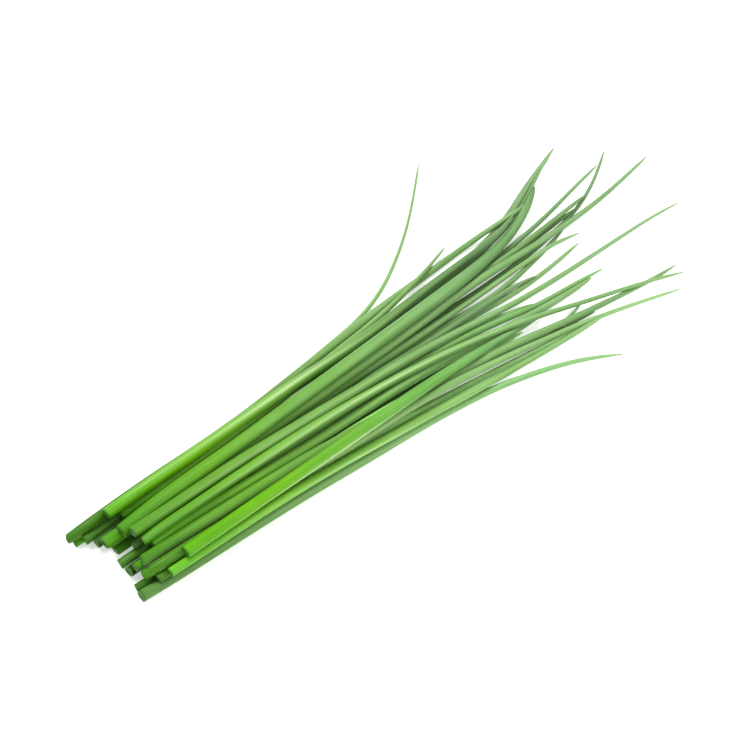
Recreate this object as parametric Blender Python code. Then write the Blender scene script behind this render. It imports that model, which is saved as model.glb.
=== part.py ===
"""A bunch of fresh chives lying down, trimmed ends together and tips fanned out.

Every leaf is a thin tapered tube of its own. The leaves are first laid one after
another, slender, each down the sight line from EYE until it rests on the table or on
the leaves already laid. Then they swell to full size and settle against each other.
"""

import math

import bpy
import numpy as np

MM = 0.001

# Point from which the bunch is seen, measured from the middle of the laid bunch.
EYE = np.array([-298.6, -324.8, 441.2])
# Height above the table at which the leaf routes below are written.
ROUTE_HEIGHT = 5.0

# Number of flat sides round a leaf; one of them faces straight down.
LEAF_SIDES = 8
# Height of a flat side above the leaf's middle, as a share of its half thickness.
FLAT_SHARE = math.cos(math.pi / LEAF_SIDES)
# Rings along a leaf, and how strongly they crowd toward the tip.
LEAF_RINGS = 32
TIP_CROWDING = 1.15
# Air left between two leaves that lie on each other.
LEAF_GAP = 0.3
# Breadth left at the tip of every leaf.
TIP_BREADTH = 0.62
# Length over which a tip rounds off, and the share of its breadth left at the very end.
TIP_ROUNDING = 0.9
TIP_END_SHARE = 0.6

# Wall of the hollow leaf at its trimmed end, and how deep the hollow is modelled.
LEAF_WALL = 0.62
HOLLOW_DEPTH = 12.0
# Least breadth and least height of the hollow.
HOLLOW_BREADTH = 0.7
HOLLOW_HEIGHT = 0.56

# Spacing of the stations at which a leaf is laid.
STATION_STEP = 1.5
# Spacing of the heights tried at each station, and the greatest lift tried.
LIFT_STEP = 0.1
LIFT_MOST = 24.0
# Reach over which routes, freedom to drift and first heights are eased into curves.
ROUTE_EASE = 4.0
GIVING_EASE = 4.0
LIFT_EASE = 6.0
# Stations at each end whose slope is carried on past the end when values are eased.
END_SPAN = 4

# Share of its size at which a leaf is first laid.
SLENDER_SHARE = 0.45
# Turns of settling in all, and the turns over which the leaves swell to full size.
SETTLING_TURNS = 600
SWELLING_TURNS = 240
# Turns at the end over which sinking and stiffness fade, so that leaves come clear.
CALMING_TURNS = 240
# How far a leaf sinks in one turn, at the start of settling.
SINKING = 0.06
# Share of its sideways drift that a leaf gives back in one turn, where it shows and
# where other leaves hide it.
RETURN_SHOWN = 0.4
RETURN_HIDDEN = 0.05
# Reach of a leaf's stiffness in one turn of settling.
STIFF_REACH = 3.6
# Share of that reach which is left in the last turns.
LEAST_STIFFNESS = 0.1
# Share of an overlap that is pushed apart in one turn.
PUSH_SHARE = 0.8
# A push moves the leaf on both sides of it too: reach of that, and how much is added.
PUSH_SPREAD = 7.0
PUSH_GAIN = 1.6
# Direction toward the eye across the bunch (sideways, up), and how strongly two leaves
# that run through each other are parted along it, the one laid later toward the eye.
SIGHT = (-0.593, 0.805)
TOWARD_EYE = 2.0
# Least closeness of two middle lines that is told apart, as a share of touching.
LEAST_CLOSENESS = 0.05
# Columns along the bunch at which leaves are compared, and how far past its own ends a
# leaf is still felt.
COLUMNS = np.arange(-118.0, 144.0, 1.5)
END_REACH = 1.0

# Finishes: colour (linear red, green, blue) and roughness.
FINISHES = {
    "green": ((0.130, 0.380, 0.045), 0.42),
    "deep_green": ((0.060, 0.210, 0.030), 0.45),
    "blue_green": ((0.150, 0.340, 0.120), 0.50),
    "lime": ((0.180, 0.480, 0.020), 0.40),
    "pale_green": ((0.260, 0.480, 0.150), 0.48),
}

# Leaves in the order in which they are laid. Each: name, finish, breadth at the trimmed
# end, thickness as a share of the breadth, length of the taper, power of the taper, how
# far the cut runs aslant per breadth, the stretch that other leaves hide, and its route
# as (along, across) points. Lengths are in millimetres.
LEAVES = [
    ("leaf_01", "green", 2.4, 0.92, 160, 1, 0.1, (-92, 4), [
        (-108.3, 3.8), (-80, 4.8), (-60, 6.2), (-40, 9), (-15, 13.4), (5, 16.4), (12, 17.9),
        (24, 22.4), (36, 29.4), (48, 37.4), (60, 47.1), (73.6, 58.8)]),
    ("leaf_02", "green", 3.7, 0.84, 55, 0.75, 0.2, (-93, 28), [
        (-105.4, 3.3), (-80, 4.6), (-60, 6.2), (-40, 7.8), (0, 9.4), (30, 10.8), (40, 11.6),
        (50, 12.9), (60, 14.8), (70, 17.6), (80, 21.2), (90, 26.1), (100, 29.8), (112.8, 34.8)]),
    ("leaf_03", "deep_green", 2.7, 0.9, 130, 0.75, 0.1, (-88, 45), [
        (-88, -1.4), (-60, -0.6), (-20, 0.6), (10, 1), (30, 1.2), (45, 1.5), (60, 2.2), (70, 3.2),
        (80, 4.6), (90, 6.5), (100, 9.4), (110, 14), (119, 19.2), (124, 22.5)]),
    ("leaf_04", "deep_green", 2.9, 0.9, 125, 0.75, 0.1, (-97, 50), [
        (-104.4, -0.3), (-80, 1), (-60, 2.6), (-20, 4.6), (20, 6.3), (50, 7.6), (60, 8.4),
        (70, 9.7), (80, 11.2), (90, 13.2), (100, 15.4), (110, 17.6), (117, 18.9)]),
    ("leaf_05", "deep_green", 2.7, 0.92, 85, 0.6, 0.0, (-88, 72), [
        (-80, -7.6), (-60, -4.4), (-20, 0.4), (20, 3.8), (50, 5.6), (75, 7), (90, 8), (96, 8.6)]),
    ("leaf_06", "green", 3, 0.9, 85, 0.55, 0.0, (-88, 68), [
        (-79, 2.4), (-60, 3.4), (-20, 4.8), (20, 5.6), (50, 6.2), (70, 7.3), (80, 8.5), (90, 9.6),
        (103, 11)]),
    ("leaf_07", "deep_green", 2.7, 0.92, 110, 0.75, 0.1, (-84, 76), [
        (-76, 6.0), (-60, 7.0), (-20, 9), (10, 9.6), (40, 12), (60, 14.2), (75, 17.4), (85, 21.5),
        (90, 24), (95, 26.8), (102, 30)]),
    ("leaf_08", "green", 2.9, 0.9, 90, 0.6, -0.1, (-95, 46), [
        (-102, -5.8), (-80, -5.4), (-60, -5), (-20, -4), (10, -3.6), (40, -3.5), (50, -3),
        (60, -1.5), (70, 0.3), (75, 1.3), (80, 2.6), (85, 4)]),
    ("leaf_09", "pale_green", 2.8, 0.9, 75, 0.65, 0.0, (-88, 32), [
        (-78, -4.7), (-60, -4.8), (-20, -5), (10, -4.8), (30, -4.8), (40, -5.5), (50, -6.4),
        (60, -6.5), (70, -5.6), (80, -4.4), (84, -3.7)]),
    ("leaf_10", "deep_green", 3.2, 0.9, 60, 0.5, 0.2, (-96, 38), [
        (-104, -14.2), (-80, -13.6), (-60, -12.8), (-20, -10.8), (10, -9.9), (30, -9.8),
        (40, -10.8), (45, -12), (53, -13.7)]),
    ("leaf_31", "deep_green", 3, 0.9, 60, 0.6, 0, (-90, 70), [
        (-72, -14.6), (-60, -14.6), (-20, -14.8), (0, -15), (20, -15.8), (40, -17.2),
        (50, -18.2)]),
    ("leaf_11", "deep_green", 3.1, 0.9, 90, 0.65, 0.15, (-92, -4), [
        (-104, -10.4), (-80, -9.8), (-60, -9.2), (-20, -8), (0, -7.6), (10, -8.4), (20, -9.5),
        (30, -10.6), (40, -12.2), (50, -14.6), (60, -15.7), (70, -16.1), (80.8, -17.2)]),
    ("leaf_12", "blue_green", 2.8, 0.9, 60, 0.6, 0.1, (-93, 28), [
        (-97.6, -7.6), (-80, -7), (-60, -6.4), (-20, -5.4), (10, -4.7), (30, -4.2), (40, -4),
        (50, -4), (57, -4.3), (63, -5.4)]),
    ("leaf_13", "green", 2.8, 0.9, 80, 0.7, 0.1, (-97, -20), [
        (-102, -2.6), (-80, -2.4), (-60, -2.2), (-40, -1.6), (-20, -1), (0, -0.8), (10, -0.5),
        (20, -0.3), (30, 0), (40, 0.2), (50, 0.5), (60, 0.9), (70, 1.3), (78, 1.4), (84, 0.6),
        (88, -0.7)]),
    ("leaf_14", "green", 3.8, 0.8, 140, 0.75, 0.1, (-96, -28), [
        (-102.6, -1.5), (-80, -0.9), (-60, -0.5), (-30, 0.8), (-10, 1.8), (10, 2.8), (20, 3.4),
        (30, 4.2), (40, 5), (50, 5.3), (60, 5.1), (70, 4.8), (80, 4.8), (90, 5.2), (100, 5.9),
        (110, 7), (120, 8.7), (132, 10.8)]),
    ("leaf_15", "green", 3.2, 0.88, 85, 0.55, 0.35, None, [
        (-108.4, 6.5), (-95, 7.5), (-80, 8.3), (-60, 8.6), (-40, 9.6), (-20, 12.1), (0, 14.5),
        (10, 15.8), (20, 16.7), (30, 17.4), (40, 18.1), (50, 18.9), (60, 19.6), (70, 20.1),
        (80, 20.4), (86.5, 20.6)]),
    ("leaf_16", "green", 2.7, 0.9, 70, 0.75, 0.1, (-55, 5), [
        (-93, 3.4), (-80, 4), (-60, 5.2), (-40, 6.4), (-15, 9.6), (0, 11.7), (10, 13.1),
        (20, 14.8), (30, 17), (35, 18.4), (40, 19.6), (45, 21.3), (51.5, 23.4)]),
    ("leaf_17", "lime", 3.5, 0.88, 75, 0.45, 0.0, None, [
        (-95.7, 6.7), (-80, 7.5), (-60, 8.1), (-40, 9.1), (-15, 9.9), (0, 9.9), (10, 10.5),
        (20, 11.8), (30, 12.8), (40, 13.7), (50, 14.6), (60, 15.3), (70, 16.6), (78, 19.6)]),
    ("leaf_18", "blue_green", 4.4, 0.74, 60, 0.5, 0.1, None, [
        (-97, -1.3), (-80, 0.8), (-60, 1.8), (-50, 2.2), (-40, 3), (-30, 3.6), (-15, 4.6),
        (0, 5.6), (10, 6.3), (20, 7.1), (30, 7.8), (40, 8.5), (50, 9.5), (60, 10.9), (70, 13.2),
        (80, 17.2), (88, 21.2), (93.5, 25)]),
    ("leaf_19", "pale_green", 3.4, 0.84, 150, 0.85, 0.0, None, [
        (-94.6, -3.6), (-80, -3.4), (-60, -3), (-50, -3.2), (-40, -3.6), (-30, -3.9), (-15, -4.4),
        (0, -4.9), (10, -5.5), (20, -6.2), (30, -7.3), (40, -8.7), (50, -9.8), (60, -10.4),
        (70, -10.7), (90, -10.8), (110, -10.8), (122, -12)]),
    ("leaf_20", "pale_green", 3.1, 0.88, 50, 0.5, 0.0, None, [
        (-93.2, -10.2), (-80, -10.3), (-60, -10.9), (-50, -11.3), (-40, -11.7), (-15, -12),
        (0, -12.3), (10, -12.9), (20, -13.7), (30, -14.8), (40, -16), (50, -17), (60, -17.7),
        (70, -17.9), (75, -17.7)]),
    ("leaf_21", "green", 2.5, 0.95, 50, 0.5, 0.2, (-99, 54), [
        (-106, -19.9), (-80, -20.4), (-60, -20.8), (-20, -21.8), (0, -22.6), (20, -23.9),
        (40, -25.6), (55, -27.2), (60, -28.1), (64.5, -28.9)]),
    ("leaf_22", "green", 2.6, 0.92, 70, 0.7, 0.0, (-86, 58), [
        (-84, -16.8), (-60, -17.6), (-20, -18.6), (0, -19.6), (20, -22), (40, -24.4), (50, -25.7),
        (57, -25.8), (60.5, -25.2), (64, -23.4)]),
    ("leaf_23", "green", 2.6, 0.95, 50, 0.5, 0.1, (-97, 24), [
        (-102, -14.1), (-80, -14.9), (-60, -15.6), (-20, -17), (10, -18.8), (30, -19.7),
        (42, -20.4)]),
    ("leaf_24", "blue_green", 3.6, 0.84, 100, 0.7, 0.25, None, [
        (-106.8, -23), (-95, -23.7), (-80, -24), (-60, -24.6), (-40, -25.6), (-30, -26.5),
        (-15, -27.5), (0, -28.8), (10, -30.1), (20, -31.7), (30, -34.4), (40, -37.6), (50, -42.2),
        (57, -47.2)]),
    ("leaf_25", "blue_green", 2.8, 0.92, 80, 0.6, 0.1, (-94, -42), [
        (-99.2, -21.3), (-80, -20.6), (-60, -20.3), (-40, -20.4), (-30, -21.2), (-15, -22.3),
        (0, -23.8), (10, -25), (20, -26.2), (30, -27.5), (40, -28.7), (50, -29.9), (62, -31.2)]),
    ("leaf_26", "green", 3.4, 0.84, 120, 0.62, 0.35, (-28, 26), [
        (-99.2, -13.4), (-75, -14.1), (-60, -14.5), (-40, -15.2), (-20, -17.2), (0, -19.2),
        (15, -20.3), (30, -21.2), (40, -22.9), (50, -24.9), (60, -26.8), (75, -29.2), (85, -30.5),
        (90, -31.2), (99, -31.5)]),
    ("leaf_27", "pale_green", 3.3, 0.88, 130, 0.75, 0.15, (-86, -6), [
        (-101.9, -17.7), (-80, -18), (-40, -19), (-15, -19.8), (0, -20.6), (10, -21.5),
        (20, -22.9), (30, -24.5), (40, -26.2), (50, -28), (60, -30.3), (70, -33), (80, -36),
        (91.5, -39.8)]),
    ("leaf_28", "lime", 2.8, 0.9, 75, 0.6, 0.0, None, [
        (-95.5, -21.8), (-75, -22), (-60, -22.1), (-50, -22.4), (-40, -22.9), (-30, -23.7),
        (-15, -25.2), (0, -26.6), (10, -27.9), (20, -29), (30, -29.8), (40, -30.7), (50, -31.4),
        (60, -31.9), (66, -32)]),
    ("leaf_29", "lime", 3.7, 0.86, 55, 0.5, 0.1, None, [
        (-88.6, -19), (-75, -18.8), (-60, -18.5), (-40, -18.2), (-15, -17.7), (0, -17.4),
        (10, -17.3), (20, -17.4), (30, -17.8), (40, -18.3), (51, -19)]),
    ("leaf_30", "green", 3.1, 0.9, 135, 0.7, 0.1, None, [
        (-94.4, -8), (-80, -7.5), (-60, -7.1), (-40, -7), (-30, -7.2), (-15, -7.8), (0, -8.9),
        (10, -10), (20, -11.5), (30, -13.4), (40, -15.6), (50, -18.5), (60, -21.9), (70, -25.2),
        (80, -28.4), (90, -31.8), (98.3, -35.4)]),
]


def clear_scene():
    """Remove every object that the scene starts with."""
    for item in list(bpy.data.objects):
        bpy.data.objects.remove(item, do_unlink=True)


def make_finish(name):
    """A plain leaf finish with its colour and roughness."""
    colour, roughness = FINISHES[name]
    finish = bpy.data.materials.new(name)
    finish.use_nodes = True
    shader = finish.node_tree.nodes["Principled BSDF"]
    shader.inputs["Base Color"].default_value = (*colour, 1.0)
    shader.inputs["Roughness"].default_value = roughness
    shader.inputs["Metallic"].default_value = 0.0
    finish.diffuse_color = (*colour, 1.0)
    return finish


def eased(values, reach, step):
    """Values after a bell-shaped moving average, carried straight on past both ends."""
    count = max(1, int(3 * reach / step))
    offsets = np.arange(-count, count + 1) * step
    bell = np.exp(-0.5 * (offsets / reach) ** 2)
    run = np.arange(1, count + 1)
    before = values[0] - (values[END_SPAN] - values[0]) / END_SPAN * run[::-1]
    after = values[-1] + (values[-1] - values[-1 - END_SPAN]) / END_SPAN * run
    return np.convolve(np.concatenate([before, values, after]), bell / bell.sum(), "valid")


def taper(along, breadth, length, power):
    """Breadth of a leaf at each distance from its trimmed end."""
    from_tip = along[-1] - along
    share = np.clip(from_tip / length, 0.0, 1.0) ** power
    full = TIP_BREADTH + (breadth - TIP_BREADTH) * share
    rounding = np.sqrt(np.clip(from_tip / TIP_ROUNDING, 0.0, 1.0))
    return full * (TIP_END_SHARE + (1.0 - TIP_END_SHARE) * rounding)


def start_leaf(row):
    """Stations of one leaf along its route, with half sizes and freedom to drift."""
    breadth, flatness, length, power, hidden, points = row[2], row[3], row[4], row[5], row[7], row[8]
    points = np.array(points, dtype=float)
    count = int((points[-1, 0] - points[0, 0]) / STATION_STEP) + 1
    route_x = np.linspace(points[0, 0], points[-1, 0], count)
    step = route_x[1] - route_x[0]
    route_y = eased(np.interp(route_x, points[:, 0], points[:, 1]), ROUTE_EASE, step)
    slope = np.gradient(route_y, route_x)
    along = np.concatenate([[0.0], np.cumsum(np.hypot(np.diff(route_x), np.diff(route_y)))])
    half = 0.5 * taper(along, breadth, length, power)
    rise = np.maximum(half * flatness, np.minimum(half, 0.5 * TIP_BREADTH))
    giving = np.full(count, RETURN_SHOWN)
    if hidden:
        giving[(route_x > hidden[0]) & (route_x < hidden[1])] = RETURN_HIDDEN
    return {"route_x": route_x, "route_y": route_y, "step": step, "half": half, "rise": rise,
            "swept": half * np.sqrt(1.0 + slope ** 2), "floor": rise * FLAT_SHARE,
            "lift": np.zeros(count), "drift": np.zeros(count), "giving": eased(giving, GIVING_EASE, step)}


def sight_line(leaf, height):
    """Points of a leaf's route moved along the sight line to the given heights."""
    share = (height - ROUTE_HEIGHT) / (EYE[2] - ROUTE_HEIGHT)
    route_x, route_y = leaf["route_x"], leaf["route_y"]
    if height.ndim == 2:
        route_x, route_y = route_x[:, None], route_y[:, None]
    return route_x + (EYE[0] - route_x) * share, route_y + (EYE[1] - route_y) * share


def middle_line(leaf):
    """Middle line of a leaf as it now lies."""
    height = leaf["floor"] + leaf["lift"]
    along_x, along_y = sight_line(leaf, height)
    return along_x, along_y + leaf["drift"], height


def lay_slender(leaf, laid):
    """Bring a slender leaf down its sight line onto the table or the laid leaves."""
    lifts = np.arange(0.0, LIFT_MOST, LIFT_STEP)
    height = leaf["floor"][:, None] + lifts[None, :]
    level_x, level_y = sight_line(leaf, height)
    blocked = np.zeros(height.shape, dtype=bool)
    for other in laid:
        other_x, other_y, other_z = middle_line(other)
        inside = (level_x >= other_x[0]) & (level_x <= other_x[-1])
        gap_y = level_y - np.interp(level_x, other_x, other_y)
        gap_z = height - np.interp(level_x, other_x, other_z)
        reach_y = leaf["swept"][:, None] + np.interp(level_x, other_x, other["swept"])
        reach_z = leaf["rise"][:, None] + np.interp(level_x, other_x, other["rise"])
        near = (gap_y / reach_y) ** 2 + (gap_z / reach_z) ** 2 < SLENDER_SHARE ** 2
        blocked |= inside & near
    last = np.where(blocked.any(axis=1), blocked.shape[1] - np.argmax(blocked[:, ::-1], axis=1), 0)
    leaf["lift"] = eased(lifts[np.minimum(last, len(lifts) - 1)], LIFT_EASE, leaf["step"])


def settle(leaves):
    """Swell all leaves to full size and let them sink, push apart and straighten."""
    count = len(leaves)
    first, second = np.triu_indices(count, 1)
    for turn in range(SETTLING_TURNS):
        size = SLENDER_SHARE + (1.0 - SLENDER_SHARE) * min(1.0, turn / SWELLING_TURNS)
        calm = min(1.0, (SETTLING_TURNS - turn) / CALMING_TURNS)
        table = np.full((5, count, len(COLUMNS)), np.nan)
        lines = []
        for index, leaf in enumerate(leaves):
            line = middle_line(leaf)
            lines.append(line)
            inside = (COLUMNS >= line[0][0] - END_REACH) & (COLUMNS <= line[0][-1] + END_REACH)
            for slot, values in enumerate((line[1], line[2], leaf["swept"], leaf["rise"])):
                table[slot, index, inside] = np.interp(COLUMNS[inside], line[0], values)
        gap_y = table[0, second] - table[0, first]
        gap_z = table[1, second] - table[1, first]
        reach_y = (table[2, second] + table[2, first]) * size + LEAF_GAP * size
        reach_z = (table[3, second] + table[3, first]) * size + LEAF_GAP * size
        closeness = np.sqrt((gap_y / reach_y) ** 2 + (gap_z / reach_z) ** 2)
        touching = closeness < 1.0
        close = np.where(touching, np.maximum(closeness, LEAST_CLOSENESS), 1.0)
        aim_y = gap_y / close + SIGHT[0] * TOWARD_EYE * (1.0 - close) * reach_y
        aim_z = gap_z / close + SIGHT[1] * TOWARD_EYE * (1.0 - close) * reach_z
        push = np.zeros((2, count, len(COLUMNS)))
        for axis, (aim, gap) in enumerate(((aim_y, gap_y), (aim_z, gap_z))):
            shove = np.where(touching, 0.5 * PUSH_SHARE * (aim - gap), 0.0)
            np.add.at(push[axis], second, shove)
            np.add.at(push[axis], first, -shove)
        for index, (leaf, line) in enumerate(zip(leaves, lines)):
            push_y, push_z = (
                PUSH_GAIN * eased(np.interp(line[0], COLUMNS, row), PUSH_SPREAD, leaf["step"])
                for row in push[:, index])
            before = leaf["lift"]
            lift = np.maximum(before + push_z - SINKING * calm, 0.0)
            climb = (lift - before + SINKING * calm) / (EYE[2] - ROUTE_HEIGHT)
            leaf["drift"] = leaf["drift"] + push_y - (EYE[1] - leaf["route_y"]) * climb
            leaf["drift"] *= 1.0 - leaf["giving"]
            reach = STIFF_REACH * max(calm, LEAST_STIFFNESS)
            leaf["lift"] = np.maximum(eased(lift, reach, leaf["step"]), 0.0)
            leaf["drift"] = eased(leaf["drift"], reach, leaf["step"])


def ring_points(centre, heading, half_breadth, half_height, slant):
    """Corners of one cross-section, square to the heading and level, with a slanted cut."""
    side = np.array([-heading[1], heading[0], 0.0])
    up = np.array([0.0, 0.0, 1.0])
    corners = []
    for index in range(LEAF_SIDES):
        angle = (index + 0.5) * 2.0 * math.pi / LEAF_SIDES
        over = half_breadth * math.cos(angle)
        rise = half_height * math.sin(angle)
        corners.append(centre + side * over + up * rise + heading * slant * over)
    return corners


def make_leaf(row, path, finish, bunch):
    """One leaf: a tapered tube lofted through rings, hollow at its trimmed end."""
    name, slant = row[0], row[6]
    line = np.stack(middle_line(path), axis=1)
    steps = np.linalg.norm(np.diff(line, axis=0), axis=1)
    along = np.concatenate([[0.0], np.cumsum(steps)])
    shares = 1.0 - (1.0 - np.linspace(0.0, 1.0, LEAF_RINGS)) ** TIP_CROWDING
    stops = np.append(shares[:-1] * (along[-1] - TIP_ROUNDING),
                      [along[-1] - TIP_ROUNDING, along[-1]])

    def at(distance):
        centre = np.array([np.interp(distance, along, line[:, axis]) for axis in range(3)])
        ends = [np.array([np.interp(distance + reach, along, line[:, axis]) for axis in (0, 1)])
                for reach in (-STATION_STEP, STATION_STEP)]
        heading = np.append((ends[1] - ends[0]) / np.linalg.norm(ends[1] - ends[0]), 0.0)
        return (centre, heading, np.interp(distance, along, path["half"]),
                np.interp(distance, along, path["rise"]))

    corners = []
    for index, distance in enumerate(stops):
        centre, heading, half, rise = at(distance)
        corners += ring_points(centre, heading, half, rise, slant if index == 0 else 0.0)
    faces = []
    for ring in range(len(stops) - 1):
        faces += band(ring * LEAF_SIDES, (ring + 1) * LEAF_SIDES)
    faces.append([len(corners) - LEAF_SIDES + index for index in range(LEAF_SIDES)])

    hollow = [len(corners), len(corners) + LEAF_SIDES]
    for distance, shear in ((0.0, slant), (HOLLOW_DEPTH, 0.0)):
        centre, heading, half, rise = at(distance)
        inner_half = max(half - LEAF_WALL, 0.5 * HOLLOW_BREADTH)
        inner_rise = max(rise - LEAF_WALL, 0.5 * HOLLOW_HEIGHT)
        corners += ring_points(centre, heading, inner_half, inner_rise, shear)
    faces += band(hollow[0], 0) + band(hollow[1], hollow[0])
    faces.append([hollow[1] + index for index in reversed(range(LEAF_SIDES))])

    mesh = bpy.data.meshes.new(name)
    mesh.from_pydata([tuple(corner * MM) for corner in corners], [], faces)
    mesh.validate()
    mesh.update()
    mesh.materials.append(finish)
    leaf = bpy.data.objects.new(name, mesh)
    bpy.context.scene.collection.objects.link(leaf)
    leaf.parent = bunch
    return leaf


def band(first, second):
    """Quads between two rings, facing outward when the second is farther along."""
    quads = []
    for index in range(LEAF_SIDES):
        following = (index + 1) % LEAF_SIDES
        quads.append((first + index, first + following, second + following, second + index))
    return quads


def lay_bunch():
    """All leaves laid in order and settled."""
    laid = []
    for row in LEAVES:
        leaf = start_leaf(row)
        lay_slender(leaf, laid)
        laid.append(leaf)
    settle(laid)
    return laid


def main():
    clear_scene()
    finishes = {name: make_finish(name) for name in FINISHES}
    laid = lay_bunch()
    bunch = bpy.data.objects.new("chive_bunch", None)
    bpy.context.scene.collection.objects.link(bunch)
    corners = []
    for row, path in zip(LEAVES, laid):
        leaf = make_leaf(row, path, finishes[row[1]], bunch)
        corners += [tuple(vertex.co) for vertex in leaf.data.vertices]
    middle = (np.min(corners, axis=0) + np.max(corners, axis=0)) / 2.0
    bunch.location = (-middle[0], -middle[1], 0.0)


main()
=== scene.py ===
"""A bunch of fresh chives lying on a pale table, seen from its trimmed ends."""

import math
from collections import namedtuple

import bpy
import numpy as np
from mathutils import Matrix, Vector


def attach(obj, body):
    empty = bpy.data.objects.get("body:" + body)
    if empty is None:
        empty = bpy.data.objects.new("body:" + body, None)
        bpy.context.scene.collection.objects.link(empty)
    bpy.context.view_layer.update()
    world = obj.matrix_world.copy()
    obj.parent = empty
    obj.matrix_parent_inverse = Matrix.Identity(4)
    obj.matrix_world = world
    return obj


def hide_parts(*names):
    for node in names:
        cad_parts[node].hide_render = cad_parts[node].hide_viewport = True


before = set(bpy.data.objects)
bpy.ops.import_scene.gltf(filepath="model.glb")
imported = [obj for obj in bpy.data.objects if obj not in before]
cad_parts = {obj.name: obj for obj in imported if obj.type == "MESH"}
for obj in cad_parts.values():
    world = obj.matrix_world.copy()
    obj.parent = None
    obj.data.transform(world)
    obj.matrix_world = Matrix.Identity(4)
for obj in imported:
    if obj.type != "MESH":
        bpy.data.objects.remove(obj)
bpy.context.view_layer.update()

# Lengths are in millimetres, except in lines that say metres, and MM turns them to metres.
MM = 0.001

# The camera's place and the point it faces, in metres, and its lens and sensor.
EYE = (-0.312496, -0.334244, 0.4412)
AIM = (-0.013896, -0.009444, 0.0)
LENS_MM = 100.0
SENSOR_MM = 36.0

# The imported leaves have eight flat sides, and their true half size lies at the corners.
FLAT_SHARE = math.cos(math.pi / 8.0)
# Spacing of the planes that cut a packed leaf, how often they are turned to follow it, and
# how far the first and last stand from its ends.
TRACE_STEP = 1.0
TRACE_PASSES = 3
CUT_MARGIN = 2.4
TIP_MARGIN = 0.9
# Half size at the very tip, as a share of the last one measured, and the least half size.
TIP_END_SHARE = 0.6
LEAST_HALF = 0.1
# Reach of the bell that eases a traced line, and how many reaches it spans to each side.
EASE_REACH = 3.0
BELL_REACHES = 3
# Stations at each end whose slope is carried on past the end.
END_SPAN = 4

# Corners round the skin, spacing of its rings, and how strongly they crowd toward both ends.
SKIN_SIDES = 32
SKIN_STEP = 1.3
CROWDING = 0.04
# Extra rings at the cut, and distance from the tip of the last ring but one.
CUT_RINGS = (0.0, 0.15, 0.4, 0.8)
LAST_RING = 0.3
# The skin never comes closer to the table than this.
LEAST_HEIGHT = 0.02

# Length over which the tip narrows, length of its rounded end and the share left there.
TIP_LENGTH = 7.0
TIP_ROUND = 1.2
TIP_LEAST = 0.45
# A swelling toward the tip, which keeps the fine ends from looking too thin.
TIP_SWELL = 0.3
TIP_SWELL_REACH = 14.0
# At the cut a leaf is pinched: so much lower, and this share of that broader.
PINCH_SHARE = 0.1
PINCH_REACH = 5.0
PINCH_SPREAD = 0.35

# How far phases move on from one leaf to the next, so that no two leaves wave alike. Every
# wave below is given as millimetres a radian.
PHASE_STEP = 1.7
# Slow turning of the section along a leaf: size in radians, wave, share of the phase.
WANDER = ((0.35, 31.0, 1.0), (0.2, 12.0, 2.3))
# The section is an oval with three soft corners and a slow ripple.
CORNERS = 3.0
CORNER_SHARE = 0.025
CORNER_AT = 1.9
RIPPLE_SHARE = 0.012
RIPPLE_WAVE = 7.0
RIPPLE_TURN = 0.6

# The painted highlight, a pale stripe: half breadth in radians, reach as a share of the leaf's
# length, how much of the section's turning it follows, and how much its strength comes and goes.
HIGHLIGHT_WIDTH = 0.36
HIGHLIGHT_REACH = 0.22
HIGHLIGHT_WANDER = 0.5
HIGHLIGHT_FLICKER = 0.15
FLICKER_WAVE = 9.0
FLICKER_PHASE = 1.3

# How far the cut's upper edge leans back per height, and over what length a cut's slant fades.
CUT_LEAN = 0.12
SLANT_REACH = 2.2
# Wall at the cut, depths of the hollow's rings, its least breadth, and the length over which
# a pinched hollow opens to its full height.
WALL = 0.5
HOLLOW_DEPTHS = (0.0, 0.5, 1.5, 3.5, 6.0, 9.0)
LEAST_HOLLOW = 0.12
OPENING_LENGTH = 5.0
# Rings over the rim, as shares of the wall, and how far the rim bulges.
RIM_SHARES = (0.12, 0.5, 0.88)
RIM_BULGE = 0.07

# Lengths over which the cut flesh fades and the dark and the pale tip fade, and the length
# over which the skin's green changes from the cut to the tip.
FLESH_REACH = 0.35
DARK_TIP_LENGTH = 20.0
PALE_TIP_LENGTH = 30.0
LEAF_LENGTH = 250.0

# Patterns on the skin, in turns a millimetre. Veins are 0.3 mm apart round the leaf and 20 mm
# long, bands 1.2 mm and 33 mm, specks of wax 0.4 mm across and patches of bloom 9 mm.
VEIN_TURNS = (3.2, 3.2, 0.05)
BAND_TURNS = (0.8, 0.8, 0.03)
WAX_TURNS = 2.6
BLOOM_TURNS = 0.11
# Height of the veins and bands, and how deep light passes into the leaf.
VEIN_RELIEF = 0.08
LIGHT_DEPTH = 1.2

PURE_WHITE = "FFFFFF"
# The table: half its side in metres, its white, and how much it glows to keep shadows faint.
TABLE_HALF = 30.0
TABLE_WHITE = "F3F3F3"
TABLE_ROUGHNESS = 0.9
TABLE_GLOW = 0.4
# Strength of the light from all round.
SKY_STRENGTH = 0.66
# Soft lights: name, place and side in metres, and power in watts.
LIGHTS = (
    ("overhead", (-0.20, 0.30, 0.9), 0.5, 9.8),
    ("fill", (0.05, -0.65, 0.6), 0.6, 3.6),
)
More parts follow.
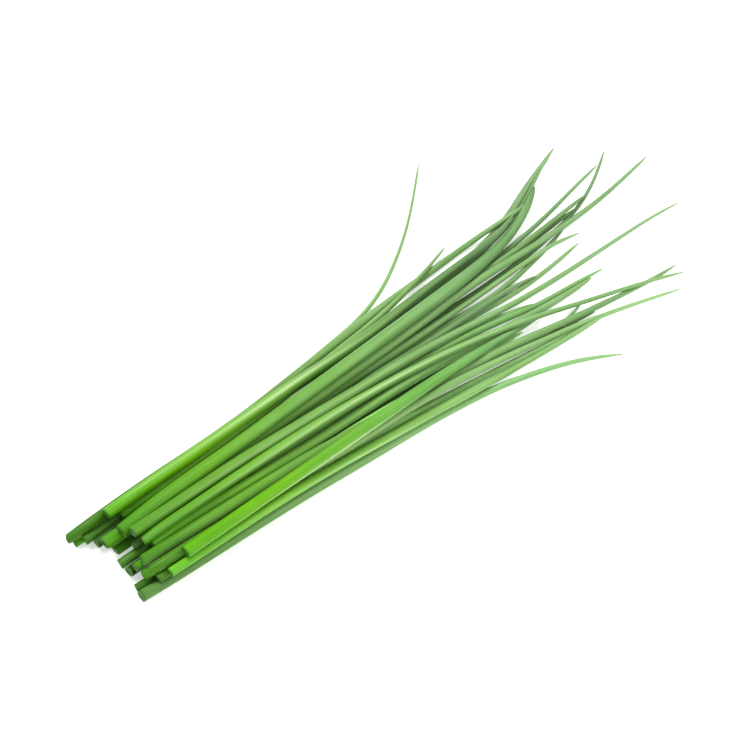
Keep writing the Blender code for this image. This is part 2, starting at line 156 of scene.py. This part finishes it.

# What sets a leaf's look: node, skin, lightness at the cut and at the tip, warmth (a turn of
# hue, minus is yellower), bloom, the painted highlight's angle in degrees (90 is on top, 180 on
# the near side), the share of the length at its middle, its strength, the breadth left at the
# tip, and how dark the tip is. Some lightness values, such as those of leaf_07, leaf_10,
# leaf_23 and leaf_25, are painted light and shade: they make up for shade that falls otherwise
# than in the photo.
Leaf = namedtuple("Leaf", "node skin lightness tip_lightness warmth bloom stripe_at "
                          "stripe_middle stripe blunt dark_tip")
LEAVES = [Leaf(*row) for row in (
    ("leaf_01", "green", 1.50, 0.90, -0.004, 0.05, 100, 0.50, 0.20, 0.80, 0.0),
    ("leaf_02", "green", 0.70, 0.90, -0.004, 0.10, 110, 0.60, 0.15, 0.80, 0.0),
    ("leaf_03", "deep_green", 1.00, 0.90, 0.000, 0.10, 100, 0.50, 0.15, 0.80, 0.2),
    ("leaf_04", "deep_green", 0.50, 1.05, 0.000, 0.15, 110, 0.60, 0.25, 0.80, 0.0),
    ("leaf_05", "deep_green", 0.85, 0.78, -0.006, 0.05, 100, 0.50, 0.05, 0.85, 0.5),
    ("leaf_06", "green", 1.10, 0.78, 0.000, 0.05, 100, 0.50, 0.10, 0.85, 0.3),
    ("leaf_07", "deep_green", 2.00, 0.95, 0.000, 0.00, 100, 0.40, 0.15, 0.80, 0.1),
    ("leaf_08", "green", 1.10, 0.82, 0.000, 0.10, 100, 0.50, 0.10, 0.85, 0.3),
    ("leaf_09", "pale_green", 1.20, 0.90, 0.000, 0.15, 100, 0.60, 0.15, 0.85, 0.0),
    ("leaf_10", "deep_green", 0.38, 1.90, -0.006, 0.00, 100, 0.50, 0.05, 0.90, 0.6),
    ("leaf_31", "deep_green", 0.42, 0.42, 0.000, 0.00, 100, 0.50, 0.00, 0.80, 0.3),
    ("leaf_11", "deep_green", 1.20, 1.30, 0.004, 0.10, 100, 0.60, 0.15, 0.85, 0.0),
    ("leaf_12", "blue_green", 0.58, 0.70, 0.000, 0.15, 100, 0.50, 0.05, 0.90, 0.1),
    ("leaf_13", "green", 1.08, 1.05, 0.000, 0.10, 110, 0.70, 0.20, 0.85, 0.0),
    ("leaf_14", "green", 1.15, 0.92, 0.000, 0.00, 120, 0.50, 0.25, 0.85, 0.0),
    ("leaf_15", "green", 0.66, 1.00, -0.004, 0.00, 100, 0.40, 0.15, 0.90, 0.0),
    ("leaf_16", "green", 1.30, 0.95, -0.004, 0.00, 100, 0.35, 0.15, 0.80, 0.0),
    ("leaf_17", "lime", 1.00, 0.50, 0.012, 0.00, 112, 0.36, 1.00, 0.90, 0.0),
    ("leaf_18", "green", 1.00, 0.82, 0.012, 0.00, 118, 0.45, 0.15, 0.95, 0.7),
    ("leaf_19", "pale_green", 0.90, 0.95, 0.000, 0.05, 125, 0.25, 0.35, 0.80, 0.0),
    ("leaf_20", "pale_green", 1.70, 0.88, 0.000, 0.10, 130, 0.50, 0.25, 0.95, 0.1),
    ("leaf_21", "green", 0.55, 0.70, 0.000, 0.05, 100, 0.50, 0.05, 0.95, 0.6),
    ("leaf_22", "green", 0.95, 1.25, 0.000, 0.15, 100, 0.50, 0.05, 0.85, 0.5),
    ("leaf_23", "green", 1.20, 2.20, 0.000, 0.05, 100, 0.50, 0.05, 0.85, 0.1),
    ("leaf_24", "blue_green", 0.90, 1.20, 0.004, 0.35, 150, 0.45, 0.30, 0.85, 0.0),
    ("leaf_25", "blue_green", 0.85, 1.75, -0.006, 0.05, 110, 0.50, 0.15, 0.85, 0.1),
    ("leaf_26", "green", 0.90, 0.88, 0.000, 0.05, 168, 0.20, 0.45, 0.80, 0.0),
    ("leaf_27", "pale_green", 0.70, 1.12, -0.006, 0.00, 160, 0.35, 0.50, 0.80, 0.0),
    ("leaf_28", "lime", 1.10, 0.98, 0.006, 0.15, 168, 0.40, 0.60, 0.85, 0.0),
    ("leaf_29", "lime", 0.92, 0.86, 0.024, 0.00, 186, 0.40, 1.00, 0.90, 0.1),
    ("leaf_30", "green", 1.10, 1.00, 0.000, 0.05, 128, 0.38, 0.95, 0.80, 0.0),
)]
# How far a cut runs along the leaf for each millimetre to its side; the others are plain.
SLANT = {"leaf_15": 0.35, "leaf_26": 0.35, "leaf_24": 0.25, "leaf_21": 0.2, "leaf_10": 0.2,
         "leaf_02": 0.2, "leaf_08": -0.1, "leaf_17": 0.0, "leaf_19": 0.0, "leaf_20": 0.0}
PLAIN_SLANT = 0.1
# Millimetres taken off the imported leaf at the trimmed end; the others are plain.
TRIM = {"leaf_01": 0.0, "leaf_02": 0.0, "leaf_15": 0.0, "leaf_25": 0.1, "leaf_28": 0.1,
        "leaf_17": 0.3, "leaf_14": 0.3, "leaf_10": 0.8, "leaf_18": 0.8, "leaf_23": 0.8,
        "leaf_24": 0.8, "leaf_26": 0.8, "leaf_27": 0.8, "leaf_29": 0.8}
PLAIN_TRIM = 0.5
# Leaf whose hollow stands open, and the share of the hollow's height at the cut, in it and
# in the others.
OPEN_LEAF = "leaf_14"
OPEN_SHARE = 0.9
SHUT_SHARE = 0.14


def linear(text):
    """Linear colour of an sRGB hex value."""
    shares = [int(text[index:index + 2], 16) / 255.0 for index in (0, 2, 4)]
    return tuple(s / 12.92 if s <= 0.04045 else ((s + 0.055) / 1.055) ** 2.4 for s in shares)


def eased(values, reach, step):
    """Values after a bell-shaped moving average, carried straight on past both ends."""
    count = max(1, int(BELL_REACHES * reach / step))
    span = min(END_SPAN, len(values) - 1)
    offsets = np.arange(-count, count + 1) * step
    bell = np.exp(-0.5 * (offsets / reach) ** 2)
    run = np.arange(1, count + 1)
    before = values[0] - (values[span] - values[0]) / span * run[::-1]
    after = values[-1] + (values[-1] - values[-1 - span]) / span * run
    return np.convolve(np.concatenate([before, values, after]), bell / bell.sum(), "valid")


def smooth(values):
    """Smooth step from 0 to 1: 3t^2 - 2t^3, with t held between 0 and 1."""
    held = np.clip(values, 0.0, 1.0)
    return held * held * (3.0 - 2.0 * held)


def spans(corners, edges, centre, heading):
    """Middle, half breadth and height range of a mesh where each plane crosses it.

    A plane stands at each centre, square to that level heading. An edge whose ends lie on both
    sides of it crosses it at a + t (b - a), with t = da / (da - db) for the distances da, db."""
    side = np.stack([-heading[:, 1], heading[:, 0], np.zeros(len(heading))], axis=1)
    away = corners @ heading.T - np.sum(centre * heading, axis=1)
    first, second = away[edges[:, 0]], away[edges[:, 1]]
    crossed = (first < 0.0) != (second < 0.0)
    gap = np.where(crossed, first - second, 1.0)
    share = first / gap
    start, run = corners[edges[:, 0]], corners[edges[:, 1]] - corners[edges[:, 0]]
    across = (start @ side.T + share * (run @ side.T)) - np.sum(centre * side, axis=1)
    height = start[:, 2:3] + share * run[:, 2:3]
    low = [np.where(crossed, row, np.inf).min(axis=0) for row in (across, height)]
    high = [np.where(crossed, row, -np.inf).max(axis=0) for row in (across, height)]
    middle = centre + side * (0.5 * (low[0] + high[0]))[:, None]
    middle[:, 2] = 0.5 * (low[1] + high[1])
    return middle, 0.5 * (high[0] - low[0]), 0.5 * (high[1] - low[1])


def trace(node):
    """Middle line, half breadth and half height of a packed leaf, in millimetres."""
    mesh = node.data
    corners = np.empty(len(mesh.vertices) * 3)
    mesh.vertices.foreach_get("co", corners)
    corners = corners.reshape(-1, 3) / MM
    edges = np.empty(len(mesh.edges) * 2, dtype=int)
    mesh.edges.foreach_get("vertices", edges)
    edges = edges.reshape(-1, 2)
    low, high = corners[:, 0].min(), corners[:, 0].max()
    end = np.unique(np.round(corners[corners[:, 0] < low + CUT_MARGIN], 3), axis=0).mean(axis=0)
    count = int((high - low) / TRACE_STEP)
    places = np.linspace(low + CUT_MARGIN, high - TIP_MARGIN, count)
    centre = np.stack([places, np.zeros(count), np.zeros(count)], axis=1)
    heading = np.tile([1.0, 0.0, 0.0], (count, 1))
    for _ in range(TRACE_PASSES):
        centre, half, rise = spans(corners, edges, centre, heading)
        run = np.gradient(centre[:, :2], axis=0)
        run = np.stack([eased(run[:, axis], EASE_REACH, TRACE_STEP) for axis in (0, 1)], axis=1)
        run /= np.linalg.norm(run, axis=1, keepdims=True)
        heading = np.concatenate([run, np.zeros((count, 1))], axis=1)
    tip = centre[-1] + (centre[-1] - centre[-3]) * (high - centre[-1, 0]) / (
        centre[-1, 0] - centre[-3, 0])
    line = np.concatenate([[end], centre, [tip]])
    half = np.concatenate([[half[0]], half, [TIP_END_SHARE * half[-1]]]) / FLAT_SHARE
    rise = np.concatenate([[rise[0]], rise, [TIP_END_SHARE * rise[-1]]]) / FLAT_SHARE
    steps = np.linalg.norm(np.diff(line, axis=0), axis=1)
    along = np.concatenate([[0.0], np.cumsum(steps)])
    even = np.linspace(0.0, along[-1], int(along[-1] / TRACE_STEP) + 1)
    step = even[1] - even[0]
    line = np.stack([eased(np.interp(even, along, line[:, axis]), EASE_REACH, step)
                     for axis in range(3)], axis=1)
    half = np.maximum(eased(np.interp(even, along, half), EASE_REACH, step), LEAST_HALF)
    rise = np.maximum(eased(np.interp(even, along, rise), EASE_REACH, step), LEAST_HALF)
    return even, line, half, rise


def stations(length):
    """Distances along a leaf: close together at the trimmed end and at the tip.

    A share s of the length is moved to s - c sin(2 pi s)."""
    body = np.linspace(0.0, 1.0, int(length / SKIN_STEP))
    warped = body - CROWDING * np.sin(2.0 * math.pi * body)
    places = np.concatenate([CUT_RINGS, warped * length, [length - LAST_RING]])
    return np.unique(np.round(places, 4))


def directions(even, line, along):
    """Points of the middle line, and the directions ahead, to the side and up at each."""
    centre = np.stack([np.interp(along, even, line[:, axis]) for axis in range(3)], axis=1)
    ahead = np.stack([np.interp(along, even, np.gradient(line[:, axis])) for axis in range(3)],
                     axis=1)
    ahead /= np.linalg.norm(ahead, axis=1, keepdims=True)
    side = np.cross([0.0, 0.0, 1.0], ahead)
    side /= np.linalg.norm(side, axis=1, keepdims=True)
    return centre, ahead, side, np.cross(ahead, side)


def half_sizes(half, rise, from_cut, to_tip, blunt):
    """Half breadth and half height along the skin.

    Toward the tip both narrow by a smooth step to the breadth left there, round off as the
    square root of the distance d to the tip, and swell by 1 + s exp(-d / reach). At the cut
    the leaf is pinched by a share that fades as exp(-distance / reach)."""
    share = blunt + (1.0 - blunt) * smooth(to_tip / TIP_LENGTH)
    share *= TIP_LEAST + (1.0 - TIP_LEAST) * np.sqrt(np.clip(to_tip / TIP_ROUND, 0.0, 1.0))
    share *= 1.0 + TIP_SWELL * np.exp(-to_tip / TIP_SWELL_REACH)
    flare = np.exp(-from_cut / PINCH_REACH)
    breadth = half * share * (1.0 + PINCH_SPREAD * PINCH_SHARE * flare)
    return breadth, rise * share * (1.0 - PINCH_SHARE * flare)


def section(along, angle, phase):
    """Radius of the section at every ring and corner, and its slow turning along the leaf.

    The radius is 1 + k (cos 3(t - t0 - w) - 1) + r sin(s / wave) cos(2 t + phase), where t is
    the angle, s the distance along the leaf and w the turning, a sum of two sine waves."""
    wander = sum(size * np.sin(along / wave + share * phase) for size, wave, share in WANDER)
    corners = np.cos(CORNERS * (angle - CORNER_AT - wander[:, None])) - 1.0
    ripple = (RIPPLE_SHARE * np.sin(along / RIPPLE_WAVE + phase)[:, None]
              * np.cos(2.0 * angle + RIPPLE_TURN * phase))
    return 1.0 + CORNER_SHARE * corners + ripple, wander


def painted_highlight_strength(leaf, along, length, angle, wander, phase):
    """Strength of the painted highlight: exp(-(turn / width)^2) exp(-((share - middle) /
    reach)^2).
    """
    turn = np.angle(np.exp(1j * (angle - math.radians(leaf.stripe_at)
                                 - HIGHLIGHT_WANDER * wander[:, None])))
    fade = np.exp(-((along / length - leaf.stripe_middle) / HIGHLIGHT_REACH) ** 2)
    fade *= 1.0 + HIGHLIGHT_FLICKER * np.sin(along / FLICKER_WAVE + FLICKER_PHASE * phase)
    return leaf.stripe * np.exp(-(turn / HIGHLIGHT_WIDTH) ** 2) * fade[:, None]


def ring_grid(sizes, radius, angle, places):
    """Rings of points: centre + side a X + up b Y, for the radius times (cos t, sin t)."""
    breadth, height = sizes
    centre, side, up = places
    over = (breadth[:, None] * radius * np.cos(angle))[:, :, None]
    lift = (height[:, None] * radius * np.sin(angle))[:, :, None]
    return centre[:, None, :] + side[:, None, :] * over + up[:, None, :] * lift


def looks_along(leaf, inside, from_cut, to_tip, run, length):
    """What the skin's material reads at each ring; the first rings lie inside the hollow."""
    hidden = np.zeros(inside)
    rise = smooth(np.maximum(run, 0.0) / length)
    return {
        "flesh": np.append(np.ones(inside), np.exp(-(from_cut / FLESH_REACH) ** 2)),
        "dark_tip": np.append(hidden, leaf.dark_tip * (1.0 - smooth(to_tip / DARK_TIP_LENGTH))),
        "tip": np.append(hidden, smooth(1.0 - to_tip / PALE_TIP_LENGTH)),
        "lightness": leaf.lightness + (leaf.tip_lightness - leaf.lightness) * rise,
        "warmth": 0.5 + leaf.warmth * rise,
        "bloom": np.full(len(run), leaf.bloom),
        "along": np.abs(run) / LEAF_LENGTH,
    }


def build_leaf(leaf, number):
    """One leaf: a closed tube with a thick wall, open at the trimmed end and fine at the tip.

    The skin is the grid of ring_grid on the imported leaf's middle line, with the section's
    radius. Near the cut it is moved along the leaf by its slant, fading as a bell. The wall
    turns in at the trimmed end over a rounded rim and runs on inside as a narrower tube to a
    closed end."""
    name = leaf.node
    even, line, half, rise = trace(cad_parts[name])
    trim = TRIM.get(name, PLAIN_TRIM)
    from_cut = stations(even[-1] - trim)
    along = from_cut + trim
    to_tip = along[-1] - along
    centre, ahead, side, up = directions(even, line, along)
    breadth, height = half_sizes(np.interp(along, even, half), np.interp(along, even, rise),
                                 from_cut, to_tip, leaf.blunt)

    angle = (np.arange(SKIN_SIDES) * 2.0 * math.pi / SKIN_SIDES - 0.5 * math.pi)[None, :]
    phase = number * PHASE_STEP
    radius, wander = section(along, angle, phase)
    painted_highlight = painted_highlight_strength(leaf, along, even[-1], angle, wander, phase)

    outer = ring_grid((breadth, height), radius, angle, (centre, side, up))
    slope = SLANT.get(name, PLAIN_SLANT)
    fading = np.exp(-(from_cut / SLANT_REACH) ** 2)[:, None, None]
    sideways = (breadth[:, None] * np.cos(angle))[:, :, None]
    upward = (height[:, None] * np.sin(angle))[:, :, None]
    outer = outer + ahead[:, None, :] * (slope * sideways - CUT_LEAN * upward) * fading
    outer[:, :, 2] = np.maximum(outer[:, :, 2], LEAST_HEIGHT)

    open_share = OPEN_SHARE if name == OPEN_LEAF else SHUT_SHARE
    depths = np.array(HOLLOW_DEPTHS)
    picks = [int(np.argmin(np.abs(from_cut - depth))) for depth in depths]
    opening = open_share + (1.0 - open_share) * smooth(depths / OPENING_LENGTH)
    inner_breadth = np.maximum(breadth[picks] - WALL, LEAST_HOLLOW)
    inner_height = np.maximum((height[picks] - WALL) * opening, 0.5 * LEAST_HOLLOW)
    inner = ring_grid((inner_breadth, inner_height), radius[picks], angle,
                      (centre[picks], side[picks], up[picks]))
    inner[0] += ahead[0] * (slope * (inner_breadth[0] * np.cos(angle[0])) -
                            CUT_LEAN * inner_height[0] * np.sin(angle[0]))[:, None]
    rim = [outer[0] + (inner[0] - outer[0]) * share
           - ahead[0] * RIM_BULGE * math.sin(math.pi * share) for share in RIM_SHARES]

    rings = np.concatenate([inner[::-1], np.stack(rim[::-1]), outer])
    inside = len(inner) + len(rim)
    run = np.concatenate([-depths[::-1], np.zeros(len(rim)), from_cut])
    looks = looks_along(leaf, inside, from_cut, to_tip, run, even[-1])
    painted_highlight = np.concatenate([np.zeros((inside, SKIN_SIDES)), painted_highlight])
    return make_piece(name, rings, run, half.max(), looks, painted_highlight)


def make_piece(node, rings, run, radius, looks, painted_highlight):
    """A closed mesh over rings of points, with a point at each end and the skin's own values.

    Corner i of ring r is point r n + i, and each quad joins it to the next corner and ring."""
    count, sides = rings.shape[:2]
    poles = np.stack([rings[0].mean(axis=0), rings[-1].mean(axis=0)])
    points = np.concatenate([rings.reshape(-1, 3), poles]) * MM
    ring, turn = np.meshgrid(np.arange(count - 1), np.arange(sides), indexing="ij")
    following = (turn + 1) % sides
    quads = np.stack([ring * sides + turn, ring * sides + following,
                      (ring + 1) * sides + following, (ring + 1) * sides + turn], axis=-1)
    corner = np.arange(sides)
    nearby = np.stack([np.roll(corner, -1), corner, np.full(sides, count * sides)], axis=1)
    last = (count - 1) * sides
    far = np.stack([last + corner, last + np.roll(corner, -1),
                    np.full(sides, count * sides + 1)], axis=1)
    mesh = bpy.data.meshes.new(node + "_skin")
    mesh.from_pydata(points.tolist(), [],
                     quads.reshape(-1, 4).tolist() + nearby.tolist() + far.tolist())
    mesh.update()
    mesh.polygons.foreach_set("use_smooth", np.ones(len(mesh.polygons), dtype=bool))
    angle = np.arange(sides) * 2.0 * math.pi / sides
    grain = np.zeros((count * sides + 2, 3))
    grain[:-2, 0] = np.tile(radius * np.cos(angle), count)
    grain[:-2, 1] = np.tile(radius * np.sin(angle), count)
    grain[:-2, 2] = np.repeat(run, sides)
    grain[-2:, 2] = (run[0], run[-1])
    store(mesh, "grain", "FLOAT_VECTOR", "vector", grain)
    store(mesh, "painted_highlight", "FLOAT", "value", np.append(painted_highlight.ravel(), [0.0, 0.0]))
    for name, values in looks.items():
        store(mesh, name, "FLOAT", "value",
              np.append(np.repeat(values, sides), [values[0], values[-1]]))
    piece = bpy.data.objects.new(node + "_skin", mesh)
    bpy.context.scene.collection.objects.link(piece)
    return piece


def store(mesh, name, kind, field, values):
    """One named value a point."""
    attribute = mesh.attributes.new(name, kind, "POINT")
    attribute.data.foreach_set(field, np.asarray(values, dtype=np.float32).ravel())


def add(tree, kind, settings=None, links=None, values=None):
    """A node with its settings, the links into its inputs and the values of its inputs."""
    node = tree.nodes.new(kind)
    for key, value in (settings or {}).items():
        setattr(node, key, value)
    for key, value in (values or {}).items():
        node.inputs[key].default_value = value
    for key, source in (links or {}).items():
        tree.links.new(source, node.inputs[key])
    return node


def stops(node, rows):
    """Colour stops of a ramp node: position and linear colour."""
    ramp = node.color_ramp
    while len(ramp.elements) < len(rows):
        ramp.elements.new(1.0)
    for element, (place, colour) in zip(ramp.elements, rows):
        element.position = place
        element.color = (*colour, 1.0)


def chive_skin(name, cut, base, middle, tip, rough):
    """Chive leaf, grown, with a thin wax: saturated at the cut and milky at the far end.

    The wax gives the eye a soft, wide gloss and a pale bloom, the leaf under it a little light
    that passes through, and its veins give hair-fine lines along the leaf. The colours are
    sRGB at the cut, near the base, at the middle and near the tip; the darker colour at the cut
    is in part painted shade over the trimmed ends."""
    skin = bpy.data.materials.new(name)
    skin.use_nodes = True
    tree = skin.node_tree
    shader = tree.nodes["Principled BSDF"]
    value = {key: add(tree, "ShaderNodeAttribute", {"attribute_name": key}).outputs
             for key in ("grain", "along", "tip", "dark_tip", "flesh", "painted_highlight",
                         "lightness", "warmth", "bloom")}
    place = add(tree, "ShaderNodeTexCoord").outputs["Object"]
    patch = add(tree, "ShaderNodeTexNoise", links={"Vector": place},
                values={"Scale": BLOOM_TURNS / MM, "Detail": 2.0, "Roughness": 0.5}).outputs["Fac"]
    stretched = add(tree, "ShaderNodeVectorMath", {"operation": "MULTIPLY"},
                    {0: value["grain"]["Vector"]}, {1: VEIN_TURNS}).outputs[0]
    vein = add(tree, "ShaderNodeTexNoise", links={"Vector": stretched},
               values={"Scale": 1.0, "Detail": 2.0, "Roughness": 0.6}).outputs["Fac"]
    wide = add(tree, "ShaderNodeVectorMath", {"operation": "MULTIPLY"},
               {0: value["grain"]["Vector"]}, {1: BAND_TURNS}).outputs[0]
    band = add(tree, "ShaderNodeTexNoise", links={"Vector": wide},
               values={"Scale": 1.0, "Detail": 1.0}).outputs["Fac"]
    speck = add(tree, "ShaderNodeTexNoise", links={"Vector": value["grain"]["Vector"]},
                values={"Scale": WAX_TURNS, "Detail": 1.0}).outputs["Fac"]

    run = add(tree, "ShaderNodeValToRGB", links={"Fac": value["along"]["Fac"]})
    stops(run, [(0.0, linear(cut)), (0.14, linear(base)), (0.5, linear(middle)),
                (0.85, linear(tip))])

    def tinted(source, pattern, darkest, lightest):
        """The source colour times shares that run with a pattern from darkest to lightest."""
        ramp = add(tree, "ShaderNodeValToRGB", links={"Fac": pattern})
        stops(ramp, [(0.3, darkest), (0.7, lightest)])
        mix = add(tree, "ShaderNodeMixRGB", {"blend_type": "MULTIPLY"},
                  {"Color1": source, "Color2": ramp.outputs["Color"]}, {"Fac": 1.0})
        return mix.outputs["Color"]

    colour = tinted(run.outputs["Color"], vein, (0.86, 0.86, 0.86), (1.1, 1.08, 1.12))
    colour = tinted(colour, band, (0.88, 0.92, 0.85), (1.08, 1.05, 1.14))
    colour = tinted(colour, patch, (0.93, 0.95, 0.88), (1.06, 1.04, 1.12))
    colour = tinted(colour, speck, (0.95, 0.95, 0.95), (1.05, 1.05, 1.05))
    # Lightness scales each leaf's colour from the cut to the tip; in part it is painted light on
    # leaves in shade and painted shade on others.
    colour = add(tree, "ShaderNodeHueSaturation",
                 links={"Color": colour, "Value": value["lightness"]["Fac"],
                        "Hue": value["warmth"]["Fac"]}).outputs["Color"]

    def covered(source, amount, strongest, cover):
        """The source colour with a plain colour laid over it by an amount."""
        share = add(tree, "ShaderNodeMath", {"operation": "MULTIPLY"}, {0: amount},
                    {1: strongest}).outputs[0]
        return add(tree, "ShaderNodeMixRGB", {"blend_type": "MIX"},
                   {"Fac": share, "Color1": source},
                   {"Color2": (*linear(cover), 1.0)}).outputs["Color"]

    # Grey-green bloom, the paler tip, a darker tip, a painted highlight, and the cut flesh with
    # painted shade in the hollow.
    colour = covered(colour, value["bloom"]["Fac"], 0.5, "7F9C78")
    colour = covered(colour, value["tip"]["Fac"], 0.3, "93B078")
    colour = covered(colour, value["dark_tip"]["Fac"], 0.8, "2F5A18")
    # Painted highlight: a pale stripe along one side of each leaf, laid over its colour.
    colour = covered(colour, value["painted_highlight"]["Fac"], 0.5, "C4DCA4")
    # Cut flesh over the rim and inside the hollow: in part the cut's own green, in part painted
    # shade in the hollow.
    colour = covered(colour, value["flesh"]["Fac"], 0.9, "2A5A08")
    tree.links.new(colour, shader.inputs["Base Color"])
    gloss = add(tree, "ShaderNodeMapRange", links={"Value": patch},
                values={"From Min": 0.3, "From Max": 0.7, "To Min": rough - 0.05,
                        "To Max": rough + 0.08})
    tree.links.new(gloss.outputs["Result"], shader.inputs["Roughness"])
    relief = add(tree, "ShaderNodeMath", {"operation": "ADD"}, {0: vein, 1: band}).outputs[0]
    bump = add(tree, "ShaderNodeBump", links={"Height": relief},
               values={"Strength": 0.3, "Distance": VEIN_RELIEF * MM})
    tree.links.new(bump.outputs["Normal"], shader.inputs["Normal"])
    shader.inputs["Specular IOR Level"].default_value = 0.18
    shader.inputs["Subsurface Weight"].default_value = 0.12
    shader.inputs["Subsurface Radius"].default_value = (0.5, 1.0, 0.25)
    shader.inputs["Subsurface Scale"].default_value = LIGHT_DEPTH * MM
    return skin


# Skins: sRGB colour at the cut, near the base, at the middle and near the tip, and roughness.
# The darker colour at the cut is in part painted shade over the trimmed ends.
SKINS = {
    "green": ("407E04", "5B9220", "759E5A", "759B64", 0.38),
    "deep_green": ("336606", "48781A", "5C8642", "6B915E", 0.42),
    "blue_green": ("42740E", "588E2C", "709C5A", "779F6A", 0.45),
    "lime": ("549C00", "62A002", "7AA25A", "779F6E", 0.36),
    "pale_green": ("4A8A08", "5E9226", "769E5E", "80A66F", 0.40),
}


def make_table():
    """A broad table top with matt white paint: no gloss, and a glow that keeps shadows pale."""
    mesh = bpy.data.meshes.new("table_top")
    mesh.from_pydata([(x * TABLE_HALF, y * TABLE_HALF, 0.0)
                      for x, y in ((-1, -1), (1, -1), (1, 1), (-1, 1))], [], [(0, 1, 2, 3)])
    top = bpy.data.objects.new("table_top", mesh)
    bpy.context.scene.collection.objects.link(top)
    paint = bpy.data.materials.new("matt_white_paint")
    paint.use_nodes = True
    shader = paint.node_tree.nodes["Principled BSDF"]
    shader.inputs["Base Color"].default_value = (*linear(TABLE_WHITE), 1.0)
    shader.inputs["Roughness"].default_value = TABLE_ROUGHNESS
    shader.inputs["Emission Color"].default_value = (*linear(PURE_WHITE), 1.0)
    shader.inputs["Emission Strength"].default_value = TABLE_GLOW
    mesh.materials.append(paint)


def add_light(name, place, size, power):
    """A square soft light that faces the middle of the bunch."""
    lamp = bpy.data.lights.new(name, "AREA")
    lamp.shape = "SQUARE"
    lamp.size = size
    lamp.energy = power
    holder = bpy.data.objects.new(name, lamp)
    holder.location = place
    holder.rotation_euler = (Vector(AIM) - Vector(place)).to_track_quat("-Z", "Y").to_euler()
    bpy.context.scene.collection.objects.link(holder)


def make_camera():
    """The photograph's view: 45 degrees down, across the trimmed ends."""
    lens = bpy.data.cameras.new("camera")
    lens.lens = LENS_MM
    lens.sensor_width = SENSOR_MM
    lens.sensor_fit = "HORIZONTAL"
    lens.clip_start = 0.01
    camera = bpy.data.objects.new("camera", lens)
    camera.location = EYE
    camera.rotation_euler = (Vector(AIM) - Vector(EYE)).to_track_quat("-Z", "Y").to_euler()
    bpy.context.scene.collection.objects.link(camera)
    bpy.context.scene.camera = camera


def make_surroundings():
    """Even white light from all round."""
    world = bpy.data.worlds.new("studio")
    world.use_nodes = True
    world.node_tree.nodes["Background"].inputs["Color"].default_value = (*linear(PURE_WHITE), 1.0)
    world.node_tree.nodes["Background"].inputs["Strength"].default_value = SKY_STRENGTH
    bpy.context.scene.world = world
    bpy.context.scene.view_settings.view_transform = "Standard"


def main():
    """Build every leaf, then the table, the lights and the camera."""
    skins = {name: chive_skin("chive_skin_" + name, *values)
             for name, values in SKINS.items()}
    for number, leaf in enumerate(LEAVES):
        piece = build_leaf(leaf, number)
        piece.data.materials.append(skins[leaf.skin])
        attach(piece, "root")
        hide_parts(leaf.node)
    make_table()
    for light in LIGHTS:
        add_light(*light)
    make_surroundings()
    make_camera()


main()
